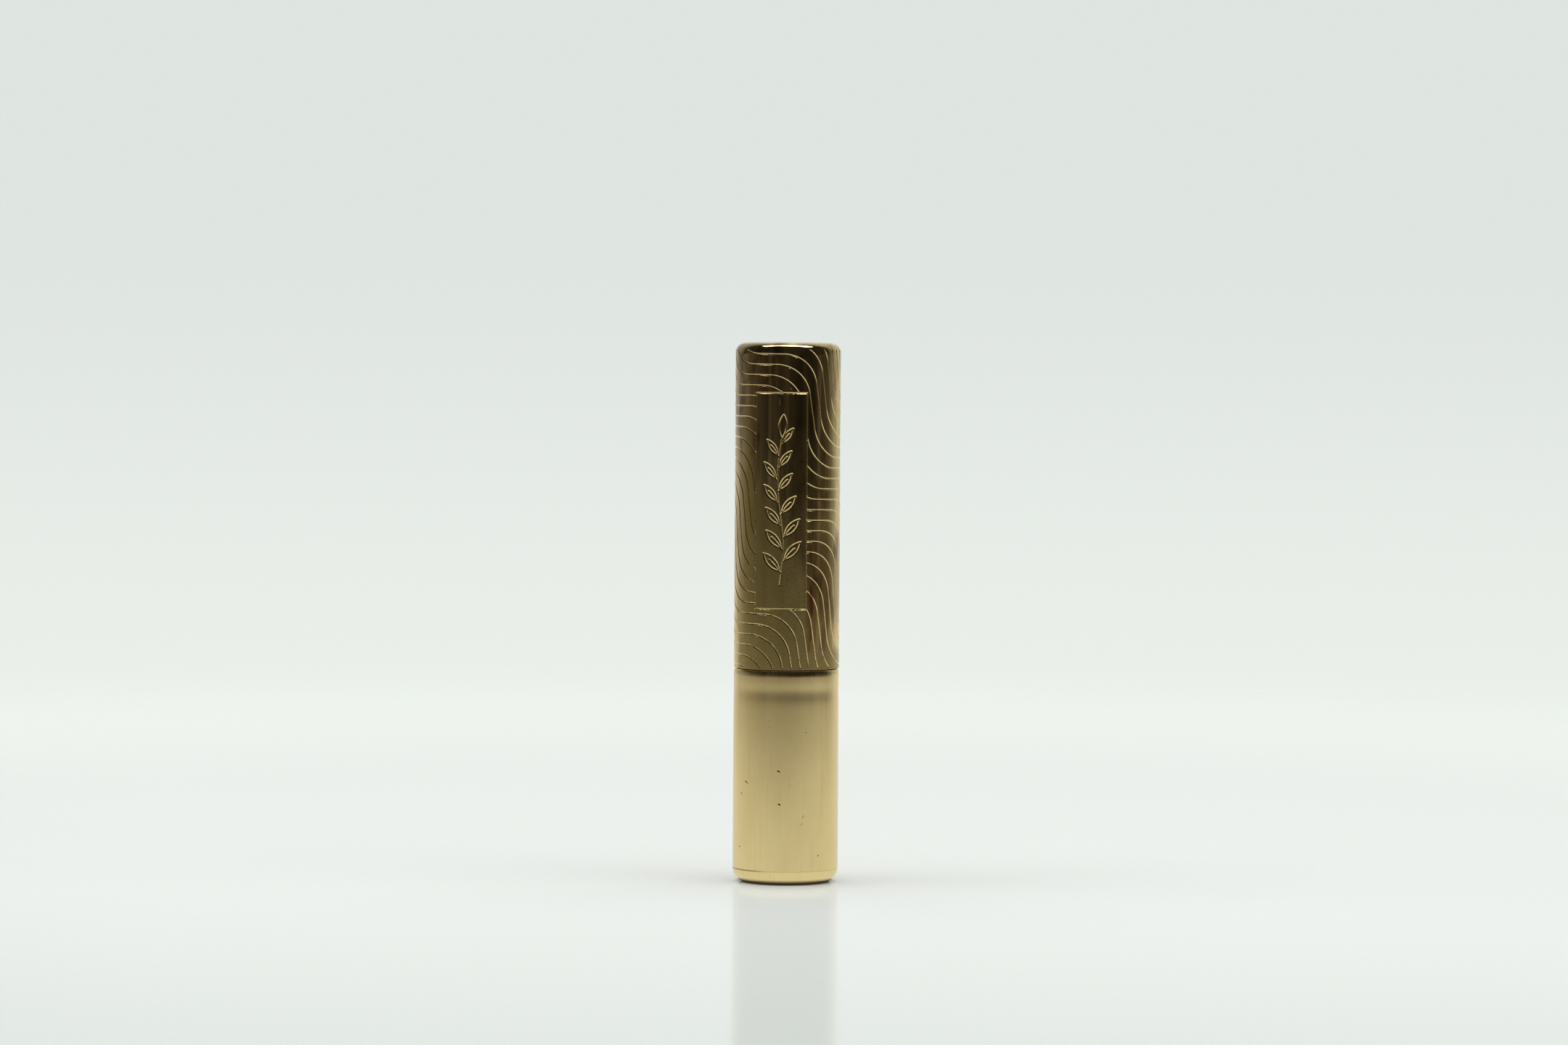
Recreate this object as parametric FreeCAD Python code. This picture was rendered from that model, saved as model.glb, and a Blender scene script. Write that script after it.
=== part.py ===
import FreeCAD, Part
import math
import os

# A slim mascara tube: a satin metal base with a threaded vial inside, and a tall metal cap that
# carries the inner cap, the stem and the brush. Millimetres. +Z is up along the tube's axis, and
# the origin is the middle of the ring that the foot stands on.

# Outside
TUBE_RADIUS = 8.0
TUBE_HEIGHT = 82.0
SEAM_HEIGHT = 32.45          # top of the base's lip
SEAM_GAP = 0.10              # open line between the base and the cap
SHELL_WALL = 0.45
FOOT_ROUND = 2.0
LIP_TAPER = 0.8              # height over which the barrel draws in under its lip
LIP_TAPER_RADIUS = 6.0
LIP_ROUND = 0.25
CROWN_ROUND = 1.5
CROWN_RISE = 0.2             # dome on the cap's top

# Foot
FOOT_SEAM = 2.1              # hairline where the foot cap meets the barrel
HAIRLINE = 0.12              # depth of the notch at that hairline
RECESS_RADIUS = 4.4
RECESS_DEPTH = 0.35
RECESS_SLOPE = 0.2
FOOT_FLOOR = 0.8
SPIGOT_TOP = 4.6
SPIGOT_INNER = 7.1

# Fits
PRESS_GAP = 0.05             # sleeve in shell, before its crush ribs
RIB_GAP = 0.01               # crush rib to the wall that it grips
SLIDE_GAP = 0.1              # vial and inner cap in their sleeves
REST_GAP = 0.05              # pieces on different bodies that rest on each other
RIB_ANGLE = 6.0              # degrees of arc in one crush rib
RIB_SINK = 0.1               # how far a rib starts inside its own wall
RIB_COUNT = 8

# Sleeves
SLEEVE_INNER = 6.95
CAP_SLEEVE_START = 33.2
CAP_SLEEVE_END = 66.0

# Vial
VIAL_RADIUS = SLEEVE_INNER - SLIDE_GAP
VIAL_WALL = 1.0
VIAL_FLOOR = 1.2
VIAL_BOTTOM = 2.4
VIAL_SHOULDER = 31.6
VIAL_HEEL_ROUND = 0.6
SHOULDER_CONE = 1.6          # height of the cone under the neck, inside
NECK_RADIUS = 5.0
NECK_BORE = 3.9
NECK_RIM = 43.6

# Screw thread, right-handed, one start
PITCH = 2.5
THREAD_DEPTH = 0.6
THREAD_ROOT = 1.4            # width of a ridge where it leaves the wall
THREAD_CREST = 0.7
THREAD_SINK = 0.15           # how far a ridge starts inside its own wall
NECK_THREAD_START = 35.6
NECK_THREAD_TURNS = 1.5
CAP_THREAD_FIRST = 0.2       # turns, where the inner cap's ridge begins and ends
CAP_THREAD_LAST = 1.5

# Wiper
WIPER_FLANGE_RADIUS = 4.95
WIPER_FLANGE = 0.6
WIPER_WALL = 0.6
WIPER_SKIRT_END = 37.5       # below this the insert narrows to its lips
WIPER_LIP = 35.0
WIPER_ORIFICE = 1.85
WIPER_LIP_WALL = 0.35

# Washers
SLIP_WASHER = 0.5
SLIP_INNER = 5.75
SEAL_WASHER = 0.9
SEAL_INNER = 2.0
SEAL_OUTER = 5.1

# Inner cap
INNER_CAP_RADIUS = SLEEVE_INNER - SLIDE_GAP
INNER_CAP_BORE = 5.8
INNER_CAP_WALL = 1.0
INNER_CAP_ROOF = 1.2
INNER_CAP_TOP = 54.0
BOSS_RADIUS = 3.4
BOSS_TOP = 52.0
WEB_WIDTH = 0.9
WEB_COUNT = 4
WEB_TOP = 50.5
WEB_SINK = 0.3               # how far a web runs into the walls it joins

# Wand
STEM_RADIUS = 1.75
STEM_END = 29.0
STEM_TOP = 51.5
STEM_TAPER = 1.2             # height of the narrowed end where the wire is crimped
STEM_TIP_RADIUS = 1.3
SOCKET_GAP = 0.02
WIRE_RADIUS = 0.3
WIRE_OFFSET = 0.32           # of each wire's centre from the axis
WIRE_PITCH = 3.2
WIRE_TOP = 33.4
WIRE_TIP = 4.9
WIRE_BORE = 0.68
BRUSH_TOP = 28.4
BRUSH_TIP = 5.4
BRUSH_CORE = 0.7
BRUSH_RADIUS = 3.2
BRUSH_SHOULDER_RADIUS = 2.2
BRUSH_TIP_RADIUS = 1.1

# Mascara paste
PASTE_BOTTOM = 3.65
PASTE_TOP = 27.0
PASTE_RADIUS = 5.8
PASTE_HOLLOW = 3.45
PASTE_DIP = 1.1              # the surface is lower beside the brush than at the wall

# Shade label
LABEL_RADIUS = 3.9
LABEL_THICKNESS = 0.1


def bend(r, z, radius, start, end):
    """An arc about (r, z) between two angles in degrees: the point halfway and the end point."""
    half, last = math.radians((start + end) / 2), math.radians(end)
    middle = (r + radius * math.cos(half), z + radius * math.sin(half))
    return middle, (r + radius * math.cos(last), z + radius * math.sin(last))


def revolved(first, *steps):
    """Turn an outline of (radius, height) points about the axis. A step is the next point, or an
    arc given as the point halfway and the end point."""
    edges = []
    here = first
    for step in steps + (first,):
        if isinstance(step[0], tuple):
            middle, there = (FreeCAD.Vector(r, 0, z) for r, z in step)
            edges.append(Part.Arc(FreeCAD.Vector(here[0], 0, here[1]), middle, there).toShape())
            here = step[1]
        else:
            start, there = FreeCAD.Vector(here[0], 0, here[1]), FreeCAD.Vector(step[0], 0, step[1])
            edges.append(Part.makeLine(start, there))
            here = step
    face = Part.Face(Part.Wire(edges))
    return face.revolve(FreeCAD.Vector(), FreeCAD.Vector(0, 0, 1), 360)


def ring(inner, outer, bottom, top):
    """A plain tube or washer."""
    return revolved((inner, bottom), (outer, bottom), (outer, top), (inner, top))


def ridge(wall, crest, first, last, lift):
    """A screw ridge from a wall's radius to its crest's, between two turns counted from `lift`."""
    sink = wall + math.copysign(THREAD_SINK, wall - crest)
    turns = last - first
    path = Part.makeHelix(PITCH, turns * PITCH, wall)
    # the flanks run on into the wall, so that no edge of the ridge lies on its surface
    flank = (THREAD_ROOT - THREAD_CREST) / 2
    foot = THREAD_ROOT / 2 + flank * THREAD_SINK / THREAD_DEPTH
    outline = [(sink, -foot), (crest, -THREAD_CREST / 2), (crest, THREAD_CREST / 2), (sink, foot)]
    profile = Part.makePolygon([FreeCAD.Vector(r, 0, z) for r, z in outline + outline[:1]])
    solid = path.makePipeShell([profile], True, True)
    solid.rotate(FreeCAD.Vector(), FreeCAD.Vector(0, 0, 1), 360 * first)
    solid.translate(FreeCAD.Vector(0, 0, lift + first * PITCH))
    return solid


def crush_ribs(surface, wall, bottom, top):
    """Shallow upright ribs on a piece's outer surface, that grip the wall round it."""
    up = FreeCAD.Vector(0, 0, 1)
    rib = Part.makeCylinder(wall - RIB_GAP, top - bottom, FreeCAD.Vector(0, 0, bottom), up, RIB_ANGLE)
    rib = rib.cut(Part.makeCylinder(surface - RIB_SINK, top - bottom, FreeCAD.Vector(0, 0, bottom)))
    ribs = []
    for index in range(RIB_COUNT):
        copy = rib.copy()
        copy.rotate(FreeCAD.Vector(), FreeCAD.Vector(0, 0, 1), 360 * index / RIB_COUNT)
        ribs.append(copy)
    return ribs


def base_shell():
    """Barrel of the base: rolled lip at the top, and a fine chamfer over the foot's hairline."""
    bore = TUBE_RADIUS - SHELL_WALL
    lip_bottom = SEAM_HEIGHT - SHELL_WALL
    # the taper's arc runs smoothly into the lip's small round
    arm = LIP_TAPER_RADIUS - LIP_ROUND
    lean = math.asin((LIP_TAPER - LIP_ROUND) / arm)
    taper_r, taper_z = TUBE_RADIUS - LIP_TAPER_RADIUS, SEAM_HEIGHT - LIP_TAPER
    return revolved(
        (bore, FOOT_SEAM),
        (TUBE_RADIUS - HAIRLINE, FOOT_SEAM),
        (TUBE_RADIUS, FOOT_SEAM + HAIRLINE / 2),
        (TUBE_RADIUS, taper_z),
        bend(taper_r, taper_z, LIP_TAPER_RADIUS, 0, math.degrees(lean)),
        bend(taper_r + arm * math.cos(lean), SEAM_HEIGHT - LIP_ROUND, LIP_ROUND, math.degrees(lean), 90),
        (SLEEVE_INNER, SEAM_HEIGHT),
        (SLEEVE_INNER, lip_bottom),
        (bore, lip_bottom),
    )


def foot_cap():
    """Bottom cup, pressed into the barrel by its spigot. It stands on a ring round a recess."""
    bore = TUBE_RADIUS - SHELL_WALL
    round_centre = TUBE_RADIUS - FOOT_ROUND
    inner_round = SPIGOT_INNER - round_centre
    return revolved(
        (0, RECESS_DEPTH),
        (RECESS_RADIUS, RECESS_DEPTH),
        (RECESS_RADIUS + RECESS_SLOPE, 0),
        (round_centre, 0),
        bend(round_centre, FOOT_ROUND, FOOT_ROUND, -90, 0),
        (TUBE_RADIUS, FOOT_SEAM - HAIRLINE / 2),
        (TUBE_RADIUS - HAIRLINE, FOOT_SEAM),
        (bore - RIB_GAP, FOOT_SEAM),
        (bore - RIB_GAP, SPIGOT_TOP),
        (SPIGOT_INNER, SPIGOT_TOP),
        (SPIGOT_INNER, FOOT_FLOOR + inner_round),
        bend(round_centre, FOOT_FLOOR + inner_round, inner_round, 0, -90),
        (0, FOOT_FLOOR),
    )


def base_sleeve():
    """Liner of the barrel, between the foot's spigot and the lip."""
    bore = TUBE_RADIUS - SHELL_WALL
    top = SEAM_HEIGHT - SHELL_WALL - REST_GAP
    outer = bore - PRESS_GAP
    sleeve = ring(SLEEVE_INNER, outer, SPIGOT_TOP, top)
    return sleeve.fuse(crush_ribs(outer, bore, SPIGOT_TOP, top))


def base_pad():
    """Pad that takes up the length between the foot and the vial."""
    radius = TUBE_RADIUS - FOOT_ROUND - PRESS_GAP
    return Part.makeCylinder(radius, VIAL_BOTTOM - FOOT_FLOOR, FreeCAD.Vector(0, 0, FOOT_FLOOR))


def vial():
    """Bottle with a threaded neck; its inside narrows in a cone under the neck."""
    floor = VIAL_BOTTOM + VIAL_FLOOR
    bottle = revolved(
        (0, VIAL_BOTTOM),
        (VIAL_RADIUS - VIAL_HEEL_ROUND, VIAL_BOTTOM),
        bend(VIAL_RADIUS - VIAL_HEEL_ROUND, VIAL_BOTTOM + VIAL_HEEL_ROUND, VIAL_HEEL_ROUND, -90, 0),
        (VIAL_RADIUS, VIAL_SHOULDER),
        (NECK_RADIUS, VIAL_SHOULDER),
        (NECK_RADIUS, NECK_RIM),
        (NECK_BORE, NECK_RIM),
        (NECK_BORE, VIAL_SHOULDER),
        (VIAL_RADIUS - VIAL_WALL, VIAL_SHOULDER - SHOULDER_CONE),
        (VIAL_RADIUS - VIAL_WALL, floor),
        (0, floor),
    )
    ribs = crush_ribs(VIAL_RADIUS, SLEEVE_INNER, SPIGOT_TOP + 1, VIAL_SHOULDER - 1)
    thread = ridge(NECK_RADIUS, NECK_RADIUS + THREAD_DEPTH, 0, NECK_THREAD_TURNS, NECK_THREAD_START)
    return bottle.fuse(ribs + [thread])


def wiper():
    """Insert in the neck: a flange on the rim, a skirt, and lips that scrape the brush."""
    outer = NECK_BORE - PRESS_GAP
    inner = outer - WIPER_WALL
    lip_outer = WIPER_ORIFICE + WIPER_LIP_WALL
    return revolved(
        (WIPER_ORIFICE, WIPER_LIP),
        (lip_outer, WIPER_LIP),
        (outer, WIPER_SKIRT_END),
        (outer, NECK_RIM),
        (WIPER_FLANGE_RADIUS, NECK_RIM),
        (WIPER_FLANGE_RADIUS, NECK_RIM + WIPER_FLANGE),
        (inner, NECK_RIM + WIPER_FLANGE),
        (inner, WIPER_SKIRT_END),
        (WIPER_ORIFICE, WIPER_LIP + WIPER_LIP_WALL),
    )


def mascara():
    """Paste in the vial, hollow where the brush goes."""
    return revolved(
        (PASTE_HOLLOW, PASTE_BOTTOM),
        (PASTE_RADIUS, PASTE_BOTTOM),
        (PASTE_RADIUS, PASTE_TOP),
        ((PASTE_RADIUS - 1, PASTE_TOP - PASTE_DIP * 0.8), (PASTE_HOLLOW, PASTE_TOP - PASTE_DIP)),
    )


def shade_label():
    """Blank paper disc in the recess under the foot."""
    bottom = RECESS_DEPTH - LABEL_THICKNESS
    return Part.makeCylinder(LABEL_RADIUS, LABEL_THICKNESS, FreeCAD.Vector(0, 0, bottom))


def slip_washer():
    """Friction ring on the vial's shoulder."""
    bottom = VIAL_SHOULDER + REST_GAP
    return ring(SLIP_INNER, VIAL_RADIUS - PRESS_GAP, bottom, bottom + SLIP_WASHER)


def seal_washer():
    """Loose washer on the stem, between the wiper's flange and the inner cap's roof."""
    bottom = NECK_RIM + WIPER_FLANGE + REST_GAP
    return ring(SEAL_INNER, SEAL_OUTER, bottom, bottom + SEAL_WASHER)


def roof_height():
    """Underside of the inner cap's roof, just over the seal washer."""
    return NECK_RIM + WIPER_FLANGE + SEAL_WASHER + 2 * REST_GAP


def inner_cap():
    """Threaded cup over the neck, with a roof, and above it a boss and webs that hold the stem."""
    bottom = VIAL_SHOULDER + SLIP_WASHER + 2 * REST_GAP
    under, over = roof_height(), roof_height() + INNER_CAP_ROOF
    body = revolved(
        (INNER_CAP_BORE, bottom),
        (INNER_CAP_RADIUS, bottom),
        (INNER_CAP_RADIUS, INNER_CAP_TOP),
        (INNER_CAP_RADIUS - INNER_CAP_WALL, INNER_CAP_TOP),
        (INNER_CAP_RADIUS - INNER_CAP_WALL, over),
        (BOSS_RADIUS, over),
        (BOSS_RADIUS, BOSS_TOP),
        (STEM_RADIUS + SOCKET_GAP, BOSS_TOP),
        (STEM_RADIUS + SOCKET_GAP, under),
        (INNER_CAP_BORE, under),
    )
    webs = []
    corner = FreeCAD.Vector(BOSS_RADIUS - WEB_SINK, -WEB_WIDTH / 2, over - WEB_SINK)
    length = INNER_CAP_RADIUS - INNER_CAP_WALL + WEB_SINK - corner.x
    for index in range(WEB_COUNT):
        web = Part.makeBox(length, WEB_WIDTH, WEB_TOP - corner.z, corner)
        web.rotate(FreeCAD.Vector(), FreeCAD.Vector(0, 0, 1), 360 * index / WEB_COUNT)
        webs.append(web)
    ribs = crush_ribs(INNER_CAP_RADIUS, SLEEVE_INNER, CAP_SLEEVE_START + 1, INNER_CAP_TOP - 1)
    thread = ridge(INNER_CAP_BORE, INNER_CAP_BORE - THREAD_DEPTH, CAP_THREAD_FIRST, CAP_THREAD_LAST,
                   NECK_THREAD_START + PITCH / 2)
    return body.fuse(webs + ribs + [thread])


def cap_shell():
    """Tall closed cover of the cap, with a rounded rim and a faint dome."""
    bore = TUBE_RADIUS - SHELL_WALL
    bottom = SEAM_HEIGHT + SEAM_GAP
    rim = TUBE_HEIGHT - CROWN_RISE
    round_r, round_z = TUBE_RADIUS - CROWN_ROUND, rim - CROWN_ROUND
    inner_round = CROWN_ROUND - SHELL_WALL
    dome = (round_r ** 2 + CROWN_RISE ** 2) / (2 * CROWN_RISE)
    dome_edge = math.degrees(math.acos(round_r / dome))
    return revolved(
        (bore, bottom),
        (TUBE_RADIUS, bottom),
        (TUBE_RADIUS, round_z),
        bend(round_r, round_z, CROWN_ROUND, 0, 90),
        bend(0, TUBE_HEIGHT - dome, dome, dome_edge, 90),
        (0, rim - SHELL_WALL),
        (round_r, rim - SHELL_WALL),
        bend(round_r, round_z, inner_round, 90, 0),
    )


def cap_sleeve():
    """Liner between the cap's thin shell and the inner cap."""
    bore = TUBE_RADIUS - SHELL_WALL
    outer = bore - PRESS_GAP
    sleeve = ring(SLEEVE_INNER, outer, CAP_SLEEVE_START, CAP_SLEEVE_END)
    return sleeve.fuse(crush_ribs(outer, bore, CAP_SLEEVE_START, CAP_SLEEVE_END))


def stem():
    """Rod of the wand, narrowed and bored at its end for the wire."""
    wire_stop = WIRE_TOP + WIRE_RADIUS
    return revolved(
        (WIRE_BORE, STEM_END),
        (STEM_TIP_RADIUS, STEM_END),
        (STEM_RADIUS, STEM_END + STEM_TAPER),
        (STEM_RADIUS, STEM_TOP),
        (0, STEM_TOP),
        (0, wire_stop),
        (WIRE_BORE, wire_stop),
    )


def brush_wire():
    """Two wires twisted about the axis."""
    along = FreeCAD.Vector(0, 2 * math.pi * WIRE_OFFSET, WIRE_PITCH)
    circle = Part.makeCircle(WIRE_RADIUS, FreeCAD.Vector(WIRE_OFFSET, 0, 0), along)
    wires = []
    for side in (0, 180):
        path = Part.makeHelix(WIRE_PITCH, WIRE_TOP - WIRE_TIP, WIRE_OFFSET)
        wire = path.makePipeShell([Part.Wire([circle])], True, True)
        wire.rotate(FreeCAD.Vector(), FreeCAD.Vector(0, 0, 1), side)
        wire.translate(FreeCAD.Vector(0, 0, WIRE_TIP))
        wires.append(wire)
    return Part.makeCompound(wires)


def bristles():
    """Outer shape of the bristles: full in the middle, narrower at both ends."""
    length = BRUSH_TOP - BRUSH_TIP
    return revolved(
        (BRUSH_CORE, BRUSH_TIP),
        (BRUSH_TIP_RADIUS, BRUSH_TIP),
        (BRUSH_RADIUS, BRUSH_TIP + 0.4 * length),
        (BRUSH_RADIUS, BRUSH_TIP + 0.75 * length),
        (BRUSH_SHOULDER_RADIUS, BRUSH_TOP),
        (BRUSH_CORE, BRUSH_TOP),
    )


def main():
    os.makedirs("parts", exist_ok=True)
    makers = (base_shell, foot_cap, base_sleeve, base_pad, vial, wiper, mascara, shade_label,
              slip_washer, seal_washer, inner_cap, cap_shell, cap_sleeve, stem, brush_wire, bristles)
    for make in makers:
        shape = make()
        shape.exportStep(f"parts/{make.__name__}.step")
        box = shape.BoundBox
        print(f"{make.__name__}: {len(shape.Solids)} solid, {shape.Volume:.2f} mm3, "
              f"z {box.ZMin:.2f} to {box.ZMax:.2f}, valid {shape.isValid()}")


main()
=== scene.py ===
import random
from math import acos, asin, atan2, ceil, copysign, cos, degrees, dist, exp, hypot, pi, radians, sin

import bpy
import numpy as np
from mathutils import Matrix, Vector
from mathutils.geometry import delaunay_2d_cdt
from mathutils.kdtree import KDTree

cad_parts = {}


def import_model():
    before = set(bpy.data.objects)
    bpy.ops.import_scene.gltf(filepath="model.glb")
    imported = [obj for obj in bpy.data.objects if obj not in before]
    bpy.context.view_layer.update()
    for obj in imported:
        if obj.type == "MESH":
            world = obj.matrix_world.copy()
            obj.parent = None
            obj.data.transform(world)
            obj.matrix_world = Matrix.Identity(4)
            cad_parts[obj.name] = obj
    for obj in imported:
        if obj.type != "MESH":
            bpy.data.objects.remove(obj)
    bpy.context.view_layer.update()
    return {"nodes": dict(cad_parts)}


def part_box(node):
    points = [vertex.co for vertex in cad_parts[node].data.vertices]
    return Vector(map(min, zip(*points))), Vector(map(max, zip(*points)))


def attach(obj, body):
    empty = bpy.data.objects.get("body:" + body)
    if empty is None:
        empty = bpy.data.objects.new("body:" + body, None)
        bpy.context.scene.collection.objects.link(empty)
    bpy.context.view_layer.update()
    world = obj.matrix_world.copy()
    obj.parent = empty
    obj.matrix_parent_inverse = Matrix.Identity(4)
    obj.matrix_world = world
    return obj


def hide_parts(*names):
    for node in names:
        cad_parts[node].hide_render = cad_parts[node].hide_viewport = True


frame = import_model()

# A mascara tube with a plain satin base and an engraved, polished cap. Lengths inside the mesh
# functions are millimetres, in the frame's own axes, and MM turns them into metres.
MM = 0.001


def extent(node):
    """Radius, bottom and top of a CAD node, in millimetres."""
    low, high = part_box(node)
    return min(high.x, high.y) / MM, low.z / MM, high.z / MM


TUBE_RADIUS, CAP_BOTTOM, CAP_TOP = extent("cap_shell")
_, BARREL_BOTTOM, LIP_TOP = extent("base_shell")
SHELL_WALL = 0.45
CROWN_ROUND = 1.5
CROWN_RISE = 0.2
TAPER_HEIGHT, TAPER_RADIUS = 0.8, 6.0  # the lip's gentle taper, as an arc
LIP_EDGE = 0.25  # the small round above the taper
FOOT_ROUND = 2.0

# Engraving on the cap, laid out flat: u runs round the cap from the middle of the panel, which
# faces -Y, to the right, and v runs up the skin from the cap's bottom edge.
AROUND = 2 * pi * TUBE_RADIUS
SKIN_HIGH = CAP_TOP - 1.1 - CAP_BOTTOM  # the layout ends a little way up the crown's round
WAVE_LOW, WAVE_HIGH = 0.35, SKIN_HIGH - 0.2
WAVE_LINES = 18  # separate lines that wind round the cap
WAVE_DROP = 1.563  # from one line down to the next
WAVE_FALL = WAVE_LINES * WAVE_DROP / 2  # height of one wave
WAVE_RUN = 15.0  # width of one wave
WAVE_SHIFT = (AROUND - 2 * WAVE_RUN) / WAVE_LINES
WAVE_BEND = 5.2  # radius of the shoulder and the foot of a wave
WAVE_FLAT, WAVE_STEEP = radians(1), radians(81)
WAVE_SHOULDER = (3.0, 44.4)  # where one line's shoulder slopes at 45 degrees
GROOVE_HALF, GROOVE_DEPTH = 0.14, 0.085
PANEL_WIDTH, PANEL_LOW, PANEL_HIGH = 8.13, 9.2, 41.7
PANEL_END_HALF, PANEL_SIDE_HALF, PANEL_DEPTH = 0.15, 0.14, 0.10
SPRIG_LOW, SPRIG_HIGH = 12.8, 38.4
SPRIG_HALF, SPRIG_DEPTH = 0.20, 0.10
STATION = 0.24  # step along a groove
ROWS = (1.0, 0.9, 0.45)  # rows of points beside a groove's middle, as parts of its half width
CAP_COLUMNS, CAP_ROWS = 240, 120  # points along the edges of the layout
LAND_STEP, LAND_CLEAR = 1.1, 0.45  # points on the smooth skin: step, gap to a groove
MARK_STEP = 0.05  # step along a groove where its depth is looked up
EDGE_CHAMFER = 0.05
TINY = 1e-6
UP, DOWN, IN, OUT = (0, 1), (0, -1), (-1, 0), (1, 0)  # normals of an outline: radial, upward


# ---- mesh helpers

def make_mesh(name, points, faces, normals=None):
    """A mesh object from points in millimetres. Given normals are kept for smooth shading."""
    mesh = bpy.data.meshes.new(name)
    mesh.from_pydata([tuple(c * MM for c in p) for p in points], [], faces)
    mesh.update()
    mesh.shade_smooth()
    if normals is not None:
        mesh.normals_split_custom_set_from_vertices([tuple(n) for n in normals])
    return linked(name, mesh)


def linked(name, data):
    """A new object in the scene."""
    thing = bpy.data.objects.new(name, data)
    bpy.context.scene.collection.objects.link(thing)
    return thing


def between(start, end, t):
    """The point a part of the way from one to another."""
    return tuple(a + (b - a) * t for a, b in zip(start, end))


def arc(r, z, radius, start, end, steps):
    """Points on an arc about (r, z), from one angle in degrees to another, with their normals."""
    out = []
    for index in range(steps + 1):
        angle = radians(start + (end - start) * index / steps)
        normal = (cos(angle), sin(angle))
        out.append(((r + radius * normal[0], z + radius * normal[1]), normal))
    return out


def inward(outline):
    """The same points with their normals turned round, for the inside of a wall."""
    return [(point, (-normal[0], -normal[1])) for point, normal in outline]


def turned(name, outline, segments=192):
    """Turn an outline of ((radius, height), (normal r, normal z)) about the axis."""
    points, normals, rows = [], [], []
    for (r, z), (nr, nz) in outline:
        if r < TINY:
            rows.append([len(points)] * segments)
            points.append((0, 0, z))
            normals.append((0, 0, copysign(1, nz)))
            continue
        rows.append(list(range(len(points), len(points) + segments)))
        for index in range(segments):
            angle = 2 * pi * index / segments
            points.append((r * cos(angle), r * sin(angle), z))
            normals.append((nr * cos(angle), nr * sin(angle), nz))
    return make_mesh(name, points, joined(rows, closed=True), normals)


def joined(rows, closed):
    """Faces between rows of vertex numbers. Each row is a loop. If closed, the last row joins the
    first. Corners that fall together are dropped."""
    faces = []
    count = len(rows[0])
    for low, high in zip(rows, rows[1:] + (rows[:1] if closed else [])):
        for index in range(count):
            after = (index + 1) % count
            corners = [low[index], low[after], high[after], high[index]]
            face = [c for place, c in enumerate(corners) if c != corners[place - 1]]
            if len(face) > 2:
                faces.append(face)
    return faces


# ---- engraving, laid out flat

def wave_path():
    """One wave of a line, from its 45 degree shoulder point to the next one's, as (u, v) steps."""
    turn = WAVE_BEND * (WAVE_STEEP - WAVE_FLAT)
    rise = 2 * WAVE_BEND * (cos(WAVE_FLAT) - cos(WAVE_STEEP))
    reach = 2 * WAVE_BEND * (sin(WAVE_STEEP) - sin(WAVE_FLAT))
    run, fall = WAVE_RUN - reach, WAVE_FALL - rise
    between_slopes = sin(WAVE_STEEP - WAVE_FLAT)
    flat = (run * sin(WAVE_STEEP) - fall * cos(WAVE_STEEP)) / between_slopes
    steep = (fall * cos(WAVE_FLAT) - run * sin(WAVE_FLAT)) / between_slopes
    half = WAVE_BEND * (WAVE_STEEP - pi / 4)
    stretches = [(half, pi / 4, WAVE_STEEP), (steep, WAVE_STEEP, WAVE_STEEP),
                 (turn, WAVE_STEEP, WAVE_FLAT), (flat, WAVE_FLAT, WAVE_FLAT),
                 (turn - half, WAVE_FLAT, pi / 4)]
    u = v = 0.0
    points = [(u, v)]
    for span, first, last in stretches:
        steps = max(2, round(span / STATION))
        for index in range(steps):
            slope = first + (last - first) * (index + 0.5) / steps
            u += span / steps * cos(slope)
            v -= span / steps * sin(slope)
            points.append((u, v))
    # what the short straight steps lose is spread over the wave
    fix_u, fix_v = WAVE_RUN / u, -WAVE_FALL / v
    return [(a * fix_u, b * fix_v) for a, b in points]


def allowed(u, v):
    """Whether a wave may be cut here: between its limits and outside the panel."""
    beside = abs(u) > PANEL_WIDTH / 2 + PANEL_SIDE_HALF
    beyond = v < PANEL_LOW - PANEL_END_HALF or v > PANEL_HIGH + PANEL_END_HALF
    return WAVE_LOW <= v <= WAVE_HIGH and (beside or beyond)


def crossing(inside, outside):
    """The point between two where the limit of the waves runs."""
    halvings = 30
    for _ in range(halvings):
        middle = ((inside[0] + outside[0]) / 2, (inside[1] + outside[1]) / 2)
        if allowed(*middle):
            inside = middle
        else:
            outside = middle
    return inside


def clipped(line):
    """The stretches of a line where it may be cut."""
    pieces, piece = [], []
    for here, there in zip(line, line[1:]):
        now, then = allowed(*here), allowed(*there)
        if now and not piece:
            piece = [here]
        if now and then:
            piece.append(there)
        elif now:
            pieces.append(piece + [crossing(here, there)])
            piece = []
        elif then:
            piece = [crossing(there, here), there]
    return pieces + ([piece] if len(piece) > 1 else [])


def wave_strokes():
    """Every wave line on the cap, cut off at its limits, with a margin past the layout's sides."""
    wave = wave_path()
    margin, shortest = 1.5, 3 * GROOVE_HALF
    strokes = []
    for line in range(-4 * WAVE_LINES, 4 * WAVE_LINES):
        start_u = WAVE_SHOULDER[0] - line * WAVE_SHIFT
        start_v = WAVE_SHOULDER[1] - line * WAVE_DROP
        path = []
        for turn in range(-6, 7):
            for u, v in wave[:-1]:
                path.append((start_u + turn * WAVE_RUN + u, start_v - turn * WAVE_FALL + v))
        near = [abs(u) < AROUND / 2 + margin for u, v in path]
        if any(near):
            first, last = near.index(True), len(near) - near[::-1].index(True)
            for piece in clipped(path[first:last]):
                if length(piece) > shortest:
                    strokes.append((piece, GROOVE_HALF, GROOVE_DEPTH))
    return strokes


def length(line):
    """Length of a line of points."""
    return sum(dist(a, b) for a, b in zip(line, line[1:]))


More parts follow.
